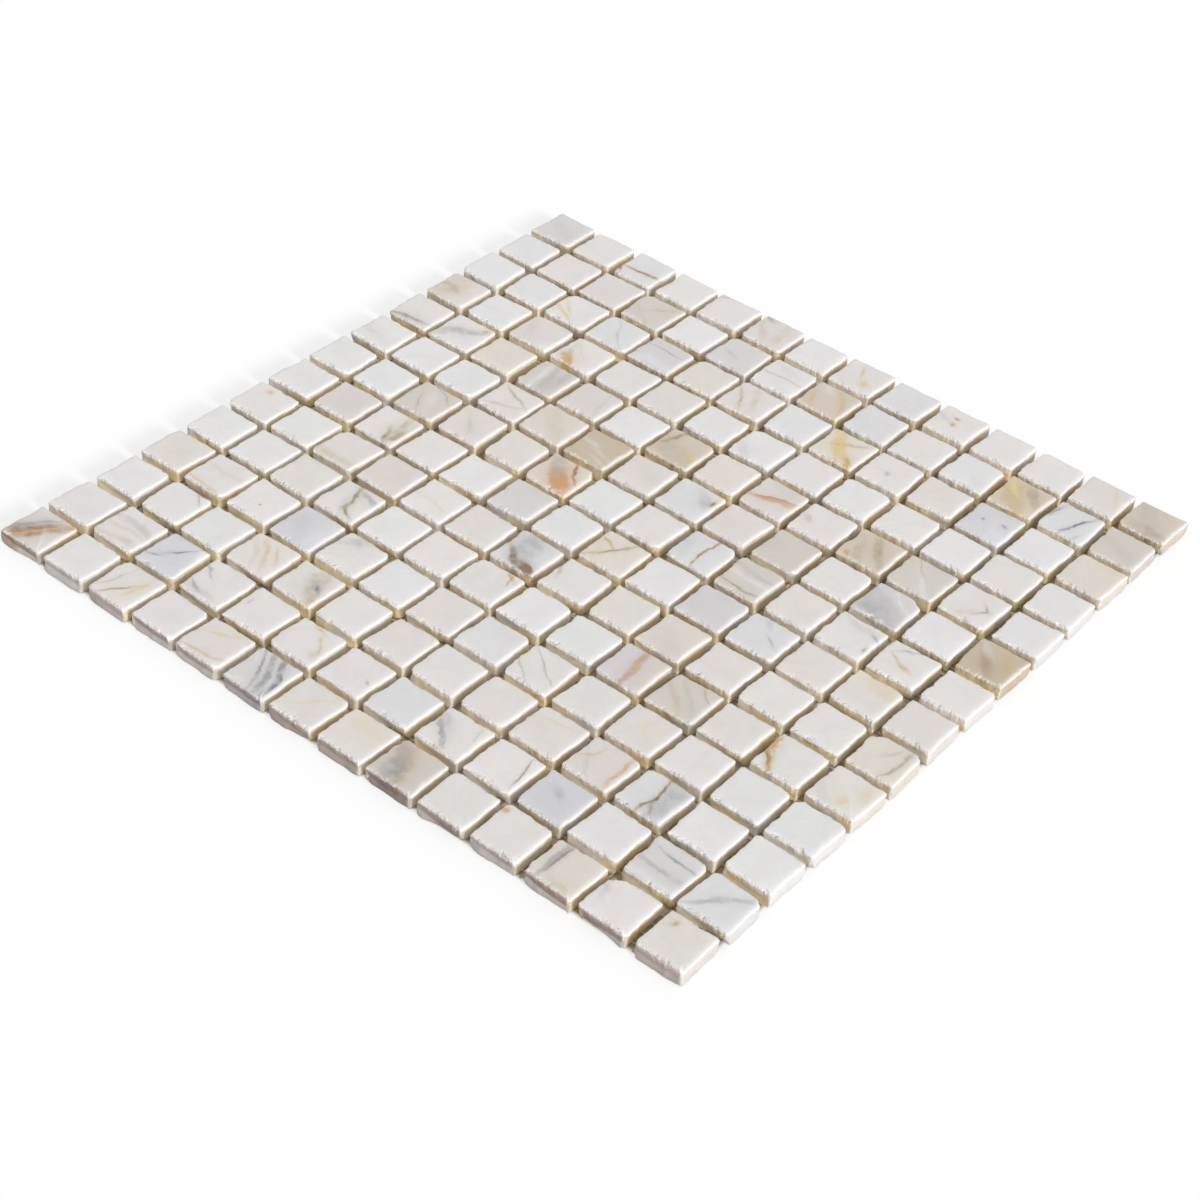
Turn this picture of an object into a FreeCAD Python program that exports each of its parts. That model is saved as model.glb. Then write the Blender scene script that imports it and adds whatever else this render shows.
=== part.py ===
import FreeCAD
import Part
import math
import os
import random

# Marble mosaic sheet, in millimetres: square chips of split marble, set in rows on a backing
# net of flat glass-fibre strands.
# Origin at the centre of the underside, +Z up through the stone, +X along each row of chips.

# Sheet
SHEET_SIDE = 305.0
CHIPS_PER_ROW = 14
JOINT = 2.35
STONE_THICKNESS = 5.9

# Backing net: two layers of flat strands that touch where they cross
STRAND_WIDTH = 1.1
STRAND_THICKNESS = 0.2
STRAND_PITCH = 5.0
NET_INSET = 2.0

# Split sides of a chip: how far each one strays from a true square
SIDE_WANDER = 0.32
SIDE_TURN_DEG = 1.7
SIDE_LEAN = 0.35
SIDE_BELLY = 0.18
BELLY_SHARE = 0.45

# Top edge: the polisher ran off the side +X, and the splitter spalled +Y, -X and -Y
EDGE_DROP = 0.55
EDGE_SETBACKS = (0.85, 0.3, 0.25, 0.25)
EDGE_SETBACK_SPREAD = 0.12

# Nipped corners: most are cut back by little more than the least depth and a few by all of the
# spread, and this share of the cut is left at the foot
NIP_LEAST = 0.25
NIP_SPREAD = 1.1
NIP_RARITY = 3
NIP_FOOT_SHARE = 0.9
NIP_TURN_DEG = 12.0

# Larger breaks on single chips: (place along X, place along Y, corner, depth at the top,
# share of that depth at the foot). Corner 0 is +X +Y, and they run anticlockwise from above.
CORNER_BREAKS = (
    (13, 5, 1, 2.6, 0.35),
    (13, 5, 0, 1.5, 0.5),
    (13, 2, 2, 1.6, 0.3),
    (13, 3, 1, 1.9, 0.5),
    (12, 0, 1, 3.0, 0.8),
    (11, 8, 0, 2.4, 0.6),
    (8, 7, 0, 1.9, 0.5),
    (7, 10, 1, 1.8, 0.6),
    (7, 2, 2, 1.6, 0.4),
    (5, 7, 0, 2.2, 0.5),
    (3, 11, 1, 2.0, 0.6),
    (3, 9, 2, 1.7, 0.4),
    (2, 5, 1, 1.9, 0.6),
)

# Sides split out of square: (place along X, place along Y, side, turn in degrees, set inwards).
# Side 0 faces +X, and they run anticlockwise from above.
SKEWED_SIDES = (
    (1, 2, 2, 4.0, 0.5),
    (1, 6, 2, 3.5, 0.3),
    (3, 9, 2, -1.0, 1.1),
    (4, 7, 2, 1.0, 1.2),
    (13, 9, 2, 0.0, 0.9),
    (6, 2, 2, -3.5, 0.4),
    (8, 5, 2, 3.5, 0.4),
    (10, 4, 2, -3.5, 0.4),
    (5, 1, 1, 3.5, 0.4),
    (13, 1, 1, -3.5, 0.4),
    (6, 8, 1, 3.5, 0.4),
    (8, 12, 1, -3.5, 0.4),
    (5, 6, 3, 3.5, 0.4),
    (6, 10, 3, -3.5, 0.4),
    (10, 11, 3, 3.5, 0.4),
    (2, 1, 0, 2.5, 0.7),
    (8, 8, 0, -3.0, 0.5),
)

SIDES = 4
SIDE_STEP_DEG = 360 / SIDES
SEED = 29
PITCH = (SHEET_SIDE + JOINT) / CHIPS_PER_ROW
CHIP_SIDE = PITCH - JOINT
NET_THICKNESS = 2 * STRAND_THICKNESS


class Facet:
    """One flat of a chip's outline: the way it faces, and how far out it lies at each level."""

    def __init__(self, normal, reach):
        self.normal = normal
        self.reach = reach

    def meet(self, other, level):
        """The point where this flat and another one cross at a level."""
        a, b = self.normal, other.normal
        turn = a.x * b.y - a.y * b.x
        x = (self.reach[level] * b.y - other.reach[level] * a.y) / turn
        y = (other.reach[level] * a.x - self.reach[level] * b.x) / turn
        return FreeCAD.Vector(x, y, 0)


def facing(angle_deg):
    """A level direction, as an angle from +X."""
    angle = math.radians(angle_deg)
    return FreeCAD.Vector(math.cos(angle), math.sin(angle), 0)


def chip_levels():
    """Heights of a chip's four sections: foot, belly, foot of the worn edge, and top."""
    foot = NET_THICKNESS
    return (foot,
            foot + BELLY_SHARE * STONE_THICKNESS,
            foot + STONE_THICKNESS - EDGE_DROP,
            foot + STONE_THICKNESS)


def split_side(draw, side, skew):
    """A side snapped off by the splitter: out of place, out of square, leaning and bellied."""
    turn_deg, inwards = skew or (draw.uniform(-SIDE_TURN_DEG, SIDE_TURN_DEG), 0.0)
    middle = CHIP_SIDE / 2 - inwards + draw.uniform(-SIDE_WANDER, SIDE_WANDER)
    lean = draw.uniform(-SIDE_LEAN, SIDE_LEAN)
    setback = EDGE_SETBACKS[side] + draw.uniform(-EDGE_SETBACK_SPREAD, EDGE_SETBACK_SPREAD)
    foot, belly, edge, _ = chip_levels()
    belly_share = (belly - foot) / (edge - foot)
    reach = (middle - lean / 2 - SIDE_BELLY,
             middle + lean * (belly_share - 0.5),
             middle + lean / 2 - SIDE_BELLY,
             middle + lean / 2 - SIDE_BELLY - setback)
    return Facet(facing(SIDE_STEP_DEG * side + turn_deg), reach)


def nipped_corner(draw, corner, side, following, broken):
    """The flat across the corner between two sides, cut back from where they would meet."""
    usual = NIP_LEAST + NIP_SPREAD * draw.random() ** NIP_RARITY
    depth, foot_share = broken or (usual, NIP_FOOT_SHARE)
    turn_deg = draw.uniform(-NIP_TURN_DEG, NIP_TURN_DEG)
    normal = facing(SIDE_STEP_DEG * (corner + 0.5) + turn_deg)
    reach = []
    for level, z in enumerate(chip_levels()):
        risen = (z - NET_THICKNESS) / STONE_THICKNESS
        cut = depth * (foot_share + (1 - foot_share) * risen)
        reach.append(side.meet(following, level).dot(normal) - cut)
    return Facet(normal, reach)


def chip_outline(draw, place):
    """The flats round one chip, anticlockwise: each side, then the corner after it."""
    skews = {entry[2]: entry[3:] for entry in SKEWED_SIDES if entry[:2] == place}
    breaks = {entry[2]: entry[3:] for entry in CORNER_BREAKS if entry[:2] == place}
    sides = [split_side(draw, side, skews.get(side)) for side in range(SIDES)]
    flats = []
    for corner, side in enumerate(sides):
        following = sides[(corner + 1) % SIDES]
        flats += [side, nipped_corner(draw, corner, side, following, breaks.get(corner))]
    return flats


def flat_face(points):
    """A face bounded by straight edges through the points."""
    return Part.Face(Part.makePolygon(list(points) + [points[0]]))


def make_chip(flats, centre):
    """The solid between a chip's sections. Each flat keeps its direction, so it stays plane."""
    sections = []
    for level, z in enumerate(chip_levels()):
        lift = centre + FreeCAD.Vector(0, 0, z)
        following = flats[1:] + flats[:1]
        sections.append([flat.meet(after, level) + lift for flat, after in zip(flats, following)])
    faces = [flat_face(sections[0]), flat_face(sections[-1])]
    for low, high in zip(sections, sections[1:]):
        faces += [flat_face([low[i - 1], low[i], high[i], high[i - 1]]) for i in range(len(low))]
    solid = Part.Solid(Part.Shell(faces))
    return solid if solid.Volume > 0 else solid.reversed()


def chip_centre(place):
    """Where a chip's axis stands, from its place along X and along Y."""
    middle = (CHIPS_PER_ROW - 1) / 2
    return FreeCAD.Vector((place[0] - middle) * PITCH, (place[1] - middle) * PITCH, 0)


def make_row(draw, row):
    """One row of chips along X."""
    places = [(along, row) for along in range(CHIPS_PER_ROW)]
    return Part.makeCompound([make_chip(chip_outline(draw, place), chip_centre(place))
                              for place in places])


def make_strands(height, along_x):
    """One layer of parallel flat strands, centred on the sheet."""
    length = SHEET_SIDE - 2 * NET_INSET
    count = int((length - STRAND_WIDTH) / STRAND_PITCH) + 1
    strands = []
    for i in range(count):
        across = (i - (count - 1) / 2) * STRAND_PITCH - STRAND_WIDTH / 2
        if along_x:
            size, corner = (length, STRAND_WIDTH), (-length / 2, across)
        else:
            size, corner = (STRAND_WIDTH, length), (across, -length / 2)
        strands.append(Part.makeBox(*size, STRAND_THICKNESS, FreeCAD.Vector(*corner, height)))
    return Part.makeCompound(strands)


def main():
    os.makedirs("parts", exist_ok=True)
    draw = random.Random(SEED)
    nodes = {"net_weft_strands": make_strands(0, along_x=False),
             "net_warp_strands": make_strands(STRAND_THICKNESS, along_x=True)}
    for row in range(CHIPS_PER_ROW):
        nodes[f"chip_row_{row + 1:02d}"] = make_row(draw, row)
    for name, shape in nodes.items():
        shape.exportStep(f"parts/{name}.step")


main()
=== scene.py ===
"""Marble mosaic sheet: split chips with worn edges on a glass-fibre net, dressed over its frame."""
import logging
import math
from dataclasses import dataclass
from enum import Enum
from typing import Sequence

import bpy
import numpy as np
from mathutils import Matrix, Vector


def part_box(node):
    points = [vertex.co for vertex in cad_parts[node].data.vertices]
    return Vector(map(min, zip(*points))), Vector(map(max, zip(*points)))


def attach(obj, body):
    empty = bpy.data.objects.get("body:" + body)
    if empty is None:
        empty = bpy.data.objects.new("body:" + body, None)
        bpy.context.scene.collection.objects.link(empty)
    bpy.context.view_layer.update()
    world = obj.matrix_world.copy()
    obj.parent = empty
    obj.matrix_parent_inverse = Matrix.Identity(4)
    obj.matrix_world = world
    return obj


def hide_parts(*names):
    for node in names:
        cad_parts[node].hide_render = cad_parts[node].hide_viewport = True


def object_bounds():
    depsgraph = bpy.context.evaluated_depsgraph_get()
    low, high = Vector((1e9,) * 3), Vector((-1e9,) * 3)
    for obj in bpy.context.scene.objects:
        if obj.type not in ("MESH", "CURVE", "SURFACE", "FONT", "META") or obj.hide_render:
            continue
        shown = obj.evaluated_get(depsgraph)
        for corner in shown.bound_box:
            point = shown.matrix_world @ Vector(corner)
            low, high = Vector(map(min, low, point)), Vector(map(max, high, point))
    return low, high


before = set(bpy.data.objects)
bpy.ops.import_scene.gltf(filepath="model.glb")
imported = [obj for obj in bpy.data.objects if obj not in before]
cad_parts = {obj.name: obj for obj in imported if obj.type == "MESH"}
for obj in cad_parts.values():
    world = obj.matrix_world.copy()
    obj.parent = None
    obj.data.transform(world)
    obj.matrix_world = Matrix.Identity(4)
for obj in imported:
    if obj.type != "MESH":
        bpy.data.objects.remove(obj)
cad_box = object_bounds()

LOG = logging.getLogger("mosaic")
MM = 0.001
SEED = 41
CHIPS_PER_ROW = 14
NOMINAL_SIDE = 305.0
JOINT = 2.35
PITCH = (NOMINAL_SIDE + JOINT) / CHIPS_PER_ROW * MM
Place = tuple[int, int]
Wave = tuple[int, float]
Pair = tuple[float, float]
Triple = tuple[float, float, float]


class Stone(Enum):
    """Ground colours of the marble, as linear reflectance."""

    WHITE = (0.805, 0.775, 0.755)
    SNOW = (0.815, 0.805, 0.80)
    COOL = (0.765, 0.755, 0.76)
    IVORY = (0.785, 0.745, 0.71)
    CREAM = (0.77, 0.715, 0.645)
    SAND = (0.685, 0.61, 0.51)
    TAN = (0.60, 0.50, 0.375)
    GREIGE = (0.68, 0.635, 0.58)
    SILVER = (0.72, 0.70, 0.69)
    BLUE_GREY = (0.685, 0.675, 0.70)
    LILAC = (0.69, 0.66, 0.67)
    ROSE = (0.765, 0.715, 0.69)


class Tone(Enum):
    """Colours of veins, bands and spots, as linear reflectance."""

    YELLOW = (0.74, 0.60, 0.33)
    OCHRE = (0.60, 0.40, 0.17)
    ORANGE = (0.66, 0.34, 0.14)
    BROWN = (0.27, 0.16, 0.08)
    OLIVE = (0.36, 0.30, 0.17)
    RUST = (0.42, 0.19, 0.12)
    ROSE = (0.66, 0.47, 0.38)
    SAND = (0.58, 0.50, 0.38)
    GREY = (0.38, 0.375, 0.38)
    SLATE = (0.17, 0.18, 0.21)
    PEARL = (0.84, 0.84, 0.85)


@dataclass(frozen=True)
class Streak:
    """A vein, band or spot on a chip's face.

    The face is seen with -X at its top and +Y to its right, and its half side is 1: right and up
    are the middle of the streak, heading is anticlockwise from right, and length and width are
    half extents.
    """

    tone: Tone
    right: float
    up: float
    heading: float
    length: float
    width: float
    strength: float

    @classmethod
    def read(cls, words: str) -> "Streak":
        """Reads a streak.

        Args:
            words: Its words in VEINED_CHIPS.
        Returns:
            The streak.
        """
        tone, right, up, heading, *sizes = words.split()
        right, up, length, width, strength = (float(word) / 100 for word in (right, up, *sizes))
        return cls(Tone[tone], right, up, float(heading), length, width, strength)


@dataclass(frozen=True)
class Look:
    """One chip's ground colour and its streaks, three at the most."""

    stone: Stone
    streaks: tuple[Streak, ...] = ()


# The veined chips, judged one by one. A line gives a chip's place along X and along Y, its ground's
# stone, and then each streak: the tone, right, up, heading, length, width and strength. The
# heading is in degrees, and the others are in hundredths.
VEINED_CHIPS = """
0 0 IVORY; BROWN -20 20 -46 130 32 75; OCHRE 5 -12 -44 120 7 100; SLATE 10 45 -42 90 7 45
0 3 IVORY; SAND 0 0 40 120 50 15
0 5 WHITE; ORANGE 55 20 70 15 10 45
0 9 WHITE; BROWN -50 0 -80 110 7 65; GREY -65 20 -80 90 20 45
0 10 IVORY; OLIVE -10 30 82 50 9 55; SAND 0 45 0 120 50 50; YELLOW 40 5 0 13 12 60
0 13 SILVER; GREY 10 10 65 110 25 15
1 1 WHITE; SAND -50 0 88 140 12 45; GREY 20 0 86 140 14 35; SAND -10 0 88 140 6 30
1 2 WHITE; BROWN 65 -40 48 35 4 50
1 3 WHITE; OCHRE -72 10 86 100 7 55; SAND 20 0 88 130 8 20
1 6 ROSE; GREY 0 0 20 150 90 12
1 9 WHITE; GREY -10 20 -48 80 20 50; OCHRE 65 -45 0 18 12 65; GREY 20 -20 -48 60 10 30
2 0 IVORY; BROWN -40 0 -35 60 4 65; YELLOW 15 -50 -8 50 10 85; GREY -10 50 -20 70 5 35
2 1 BLUE_GREY; SLATE 30 0 -45 45 5 70; SLATE -30 55 -60 30 3 50; PEARL 50 -80 20 90 16 90
2 3 WHITE; BROWN -20 -10 0 5 3 70
2 5 IVORY; SAND -55 0 88 140 14 50; GREY -80 0 88 140 6 35
2 6 WHITE; BROWN -55 -30 25 45 9 75; SAND 20 -42 5 90 18 70; OLIVE -35 -62 -12 70 13 65
2 7 GREIGE; BROWN 50 -10 60 60 3 40; BROWN -30 30 30 60 3 30; PEARL 0 0 30 80 20 30
2 9 CREAM; PEARL -60 0 85 100 15 30
2 10 ROSE; PEARL -60 -70 -40 35 16 90; GREY 20 50 10 90 20 15
2 11 WHITE; YELLOW -45 30 62 70 8 75; YELLOW 0 45 55 60 6 60; OCHRE 85 0 88 80 4 40
2 13 COOL; RUST -20 -10 -86 100 5 80; RUST -50 75 35 25 6 75
3 1 WHITE; SLATE -45 45 55 35 5 50; SLATE 30 60 60 35 5 50; GREY -60 20 80 70 15 30
3 2 IVORY; OCHRE 10 5 35 90 10 40; OCHRE 30 -30 40 60 6 40; SAND 0 40 30 80 10 30
3 3 BLUE_GREY; GREY 0 30 40 60 25 15; PEARL 0 -60 10 100 30 40
3 4 WHITE; OLIVE -45 -35 52 40 7 95; OLIVE 20 -2 10 60 7 95; GREY 50 -35 60 45 12 60
3 5 ROSE; SAND 0 0 60 130 80 12
3 7 IVORY; SAND -10 10 40 90 12 40
3 8 IVORY; SAND -35 10 -60 80 6 50; BROWN 35 10 62 70 5 40
3 9 GREIGE; PEARL 0 35 8 120 10 50; GREY 0 -35 -5 120 20 30; GREY 10 5 12 100 12 35
3 10 WHITE; OCHRE -62 35 30 40 22 120; SAND -10 50 10 60 10 55; OCHRE 20 20 50 50 4 30
3 11 COOL; GREY 10 10 42 110 4 40
3 12 GREIGE; OCHRE 30 -20 -38 70 5 50; SAND -40 10 50 80 6 40
4 0 IVORY; OCHRE -65 0 -85 100 6 50; YELLOW 50 10 -58 70 8 55
4 1 WHITE; GREY 10 65 10 20 4 40
4 2 WHITE; OLIVE 15 -25 15 80 30 45; SLATE 0 -42 40 22 8 100; OCHRE -60 -55 0 30 15 50
4 3 WHITE; GREY 60 20 -60 70 18 40
4 5 WHITE; YELLOW -10 -10 88 100 8 30
4 8 CREAM; SAND 0 0 40 120 30 30
4 9 ROSE; SAND 0 -50 15 90 5 40
4 11 LILAC; BROWN 25 10 88 90 3 40; PEARL -50 0 85 100 20 40
4 13 WHITE; GREY 70 60 -50 40 6 40
5 0 SILVER; SLATE -10 -50 22 130 9 75; GREY 0 -10 25 130 12 80; SLATE 20 35 30 100 5 50
5 1 WHITE; OCHRE 10 -30 45 50 5 50; SAND -30 -50 0 30 15 40; OCHRE 50 10 75 30 4 40
5 6 SILVER; ROSE 60 0 80 90 30 12
5 7 CREAM; ORANGE -30 -20 38 100 36 95; RUST 45 -30 38 60 6 110; GREY 35 40 40 80 25 45
5 8 TAN; PEARL 10 20 70 90 10 30; PEARL -50 -40 75 60 8 25
5 11 IVORY; YELLOW 0 0 60 140 90 8
5 12 SILVER; GREY -10 30 60 40 6 30
5 13 ROSE; BROWN 75 60 80 25 10 50; SAND 0 40 40 80 12 40; SAND 10 -30 10 90 15 35
6 0 IVORY; YELLOW 10 -10 -50 80 5 35
6 1 WHITE; BROWN -10 -65 70 12 4 40
6 4 WHITE; OCHRE 78 -35 75 40 7 65; BROWN 55 -60 20 30 3 50
6 5 COOL; BROWN -72 -50 72 45 17 120; BROWN -50 20 40 60 12 75; SLATE 30 30 25 110 45 36
6 8 IVORY; SAND 20 0 50 90 40 18
6 9 SAND; BROWN 30 50 -22 60 7 60; YELLOW -15 -50 0 22 13 90; OLIVE -30 20 60 120 50 30
6 11 IVORY; OLIVE -20 40 30 80 7 50; SAND 20 0 25 90 12 40
6 12 SNOW; ROSE 5 0 88 130 5 70; GREY 60 30 75 80 20 15
7 0 IVORY; YELLOW 50 0 80 110 40 25
7 3 COOL; ROSE 50 -30 60 80 40 8
7 5 WHITE; GREY 10 70 5 40 8 40
7 6 CREAM; OLIVE 5 10 -42 95 6 70; OCHRE 30 50 60 45 5 70; YELLOW -30 55 15 60 7 60
7 8 COOL; GREY 20 -35 55 45 20 50; BROWN 30 -68 15 16 8 95; OCHRE 35 -82 0 20 6 70
7 9 IVORY; YELLOW 0 0 30 140 90 12
7 10 SNOW; GREY -50 40 40 50 25 20
7 12 SAND; OCHRE 20 -30 35 90 12 50; OCHRE -30 50 22 50 10 40; PEARL 60 50 60 50 15 30
7 13 IVORY; YELLOW -20 -35 30 20 12 80; OCHRE 30 20 40 35 6 40
8 0 GREIGE; OCHRE -15 4 24 110 20 35; ROSE 60 76 15 50 20 65; SLATE -30 30 26 100 34 45
8 1 WHITE; SLATE -20 30 42 70 7 50; GREY 30 55 40 50 16 35; GREY 30 -60 30 50 5 30
8 3 WHITE; BROWN -35 40 55 50 3 40; BROWN 20 0 55 90 3 40
8 7 COOL; RUST 0 -10 1 120 4 85; SLATE 0 60 0 120 30 12
8 9 ROSE; ORANGE 0 0 -76 120 12 65; BROWN 13 -10 -74 90 4 50; GREY 60 0 85 120 30 15
8 11 IVORY; OCHRE -68 -50 50 50 14 100; YELLOW 10 30 28 110 25 100; OCHRE 35 0 -52 60 6 80
9 1 WHITE; BROWN 10 -60 12 70 4 60
9 2 IVORY; YELLOW 40 -10 -75 90 5 45
9 4 LILAC; BROWN 0 0 6 150 13 42; ORANGE 15 2 6 120 7 60; YELLOW 0 -75 6 160 45 25
9 5 CREAM; GREY -30 0 60 130 50 15
9 6 LILAC; SLATE 60 10 80 30 20 6
9 7 GREIGE; OLIVE -55 0 88 140 5 60; PEARL 5 0 88 140 12 50; GREY 40 0 88 140 10 25
9 8 GREIGE; YELLOW -50 -40 0 10 7 50
9 9 WHITE; GREY 5 60 70 30 12 40
9 11 WHITE; GREY -10 10 0 12 8 50
9 13 WHITE; OCHRE -7 0 0 12 8 95; OCHRE 31 0 0 8 8 95; GREY 20 45 70 40 15 20
10 0 WHITE; OCHRE 62 75 0 14 9 70
10 1 BLUE_GREY; GREY 15 10 60 30 15 40
10 2 ROSE; OCHRE 20 60 -25 50 5 45; OCHRE 0 -65 5 90 7 60; SAND -40 30 40 50 8 35
10 3 IVORY; YELLOW 0 0 30 50 30 15
10 4 GREIGE; SAND -20 30 42 110 10 50; OLIVE 45 -40 52 60 5 40; GREY 10 0 42 120 8 20
10 6 COOL; GREY -10 -30 60 40 4 45; GREY 60 20 30 30 10 30
10 9 SAND; OCHRE -65 50 0 14 10 90; OLIVE 10 -20 35 100 18 55; OLIVE -30 30 20 80 12 30
10 11 IVORY; OCHRE -85 -20 85 80 5 60; YELLOW 20 20 80 90 30 12
11 0 CREAM; GREY 10 50 5 110 10 65; BROWN 30 42 0 70 4 60; SAND -60 -30 70 50 12 50
11 2 COOL; SLATE 10 -42 -4 150 34 33; BROWN 0 2 -6 120 5 80; BROWN -45 -15 35 40 6 50
11 7 WHITE; SLATE -30 -75 20 20 6 50; SLATE 35 -70 60 25 6 50; GREY 60 0 85 90 12 20
11 8 SILVER; SLATE -50 30 60 120 35 35; GREY 10 20 62 120 30 30; PEARL 45 -30 55 80 7 50
11 9 GREIGE; BROWN 20 0 45 100 3 40; PEARL -30 -30 40 70 20 40
11 11 BLUE_GREY; SLATE 10 20 0 7 5 60; SLATE 25 -50 55 12 6 70; PEARL -50 -50 20 70 30 40
11 12 SAND; OCHRE -10 15 30 120 40 50; YELLOW 40 40 60 60 10 90; BROWN 30 -40 40 80 12 35
12 0 WHITE; GREY 20 70 20 40 10 30
12 1 SILVER; GREY -20 0 88 130 10 45; SLATE 45 -20 84 80 5 50; PEARL -70 0 88 120 10 40
12 4 WHITE; BROWN -35 50 35 60 7 80; OCHRE 30 75 25 60 9 90; OCHRE -60 30 20 30 10 50
12 6 IVORY; YELLOW 50 -10 80 90 30 40
12 7 WHITE; OCHRE -10 -10 70 30 9 70; GREY 60 20 -60 50 6 45; OCHRE 10 40 80 30 5 50
12 9 WHITE; BROWN -20 -40 -40 30 4.5 50; BROWN 15 -40 45 20 3.5 45; SAND -50 10 -50 40 12 30
12 12 COOL; SLATE 5 -15 -18 85 4.5 80; SLATE 30 75 -15 40 6 65; SLATE -70 -40 -20 30 4 40
13 0 IVORY; OCHRE 50 50 -30 16 8 80
13 1 COOL; GREY 0 0 -48 120 8 50
13 4 IVORY; YELLOW -30 -15 0 25 14 60; YELLOW 40 -50 20 40 20 40; GREY -40 50 50 60 20 20
13 5 CREAM; OLIVE 0 -40 -5 100 6 60; GREY 50 -10 -30 60 5 30
13 8 TAN; BROWN -10 10 40 70 20 40; PEARL 50 50 50 50 15 30; OCHRE 20 -50 25 70 15 35
13 11 CREAM; YELLOW 60 -30 70 70 30 20
13 12 GREIGE; SAND 0 0 60 100 20 30
13 13 SAND; BROWN -60 -10 78 90 25 30; GREY 30 40 40 90 30 30
"""

# The chips of one plain stone, by that stone.
PLAIN_CHIPS = {
    Stone.WHITE: (
        (0, 1), (1, 13), (3, 0), (3, 6), (3, 13), (4, 10), (5, 4), (7, 2), (9, 0), (9, 12),
        (10, 8), (10, 10), (10, 13), (11, 5), (11, 13), (12, 10)),
    Stone.SNOW: (
        (0, 2), (0, 4), (0, 6), (0, 7), (0, 11), (0, 12), (1, 0), (1, 4), (1, 5), (1, 7),
        (1, 8), (1, 10), (1, 11), (2, 2), (2, 8), (4, 4), (4, 6), (4, 12), (5, 3), (5, 9),
        (6, 6), (6, 7), (6, 10), (6, 13), (7, 4), (7, 11), (8, 4), (8, 6), (9, 10), (10, 12),
        (11, 1), (11, 10), (12, 3), (12, 8), (12, 11), (13, 2), (13, 3), (13, 9), (13, 10)),
    Stone.IVORY: (
        (2, 4), (4, 7), (5, 10), (6, 2), (6, 3), (8, 5), (10, 5), (10, 7), (11, 4), (11, 6),
        (13, 6)),
    Stone.COOL: (
        (7, 1), (8, 12), (8, 13)),
    Stone.ROSE: (
        (2, 12), (8, 8)),
}


def standout_looks() -> dict[Place, Look]:
    """Reads the catalogue of the chips that stand out.

    Returns:
        Their looks, by place along X and along Y.
    """
    looks = {place: Look(stone) for stone, places in PLAIN_CHIPS.items() for place in places}
    for line in VEINED_CHIPS.strip().splitlines():
        ground, *streaks = line.split(";")
        along_x, along_y, stone = ground.split()
        streaks = tuple(Streak.read(words) for words in streaks)
        looks[int(along_x), int(along_y)] = Look(Stone[stone], streaks)
    return looks


STANDOUT = standout_looks()


@dataclass(frozen=True)
class PlainStone:
    """How the chips that don't stand out are drawn: their stones, by share, and faint veins.

    Each spread is the least and the greatest of a streak's value.
    """

    stones: tuple[Stone, ...] = (Stone.WHITE, Stone.IVORY, Stone.SNOW)
    shares: tuple[float, ...] = (0.6, 0.2, 0.2)
    tones: tuple[Tone, ...] = (Tone.GREY, Tone.SAND, Tone.YELLOW)
    veined_share: float = 0.15
    middle_spread: Pair = (-0.6, 0.6)
    heading_spread: Pair = (20.0, 90.0)
    length_spread: Pair = (0.5, 1.2)
    width_spread: Pair = (0.06, 0.25)
    strength: float = 0.28
    strength_spread: Pair = (0.5, 1.2)

    def draw_look(self, draw: np.random.Generator) -> Look:
        """A quiet look.

        Args:
            draw: The row's own random numbers.
        Returns:
            A ground colour, with one faint vein on some chips.
        """
        stone = self.stones[draw.choice(len(self.stones), p=self.shares)]
        tone = self.tones[draw.integers(len(self.tones))]
        right, up = draw.uniform(*self.middle_spread, 2)
        heading = draw.uniform(*self.heading_spread)
        length = draw.uniform(*self.length_spread)
        width = draw.uniform(*self.width_spread)
        strength = self.strength * draw.uniform(*self.strength_spread)
        vein = Streak(tone, right, up, heading, length, width, strength)
        return Look(stone, (vein,) if draw.random() < self.veined_share else ())


class Socket:
    """A shader output that takes part in expressions: each operator adds its Math node."""

    def __init__(self, shader: "Shader", output: bpy.types.NodeSocket) -> None:
        """Wraps one output of a node."""
        self.shader = shader
        self.output = output

    def __add__(self, other: "Value") -> "Socket":
        """The sum."""
        return self.shader.maths("ADD", self, other)

    def __sub__(self, other: "Value") -> "Socket":
        """The difference."""
        return self.shader.maths("SUBTRACT", self, other)

    def __rsub__(self, other: "Value") -> "Socket":
        """The difference, with the number first."""
        return self.shader.maths("SUBTRACT", other, self)

    def __mul__(self, other: "Value") -> "Socket":
        """The product."""
        return self.shader.maths("MULTIPLY", self, other)

    def __truediv__(self, other: "Value") -> "Socket":
        """The quotient."""
        return self.shader.maths("DIVIDE", self, other)

    def __abs__(self) -> "Socket":
        """The size without its sign."""
        return self.shader.maths("ABSOLUTE", self)

    def exp(self) -> "Socket":
        """e to the power of the value."""
        return self.shader.maths("EXPONENT", self)

    __radd__ = __add__
    __rmul__ = __mul__


Value = Socket | float
Colour = Socket | Triple


@dataclass(frozen=True)
class Noise:
    """A smooth noise of 0 to 1: its waves to a metre, its finer layers, and its warp by itself."""

    waves: float
    layers: float = 3.0
    warp: float = 0.0


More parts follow.
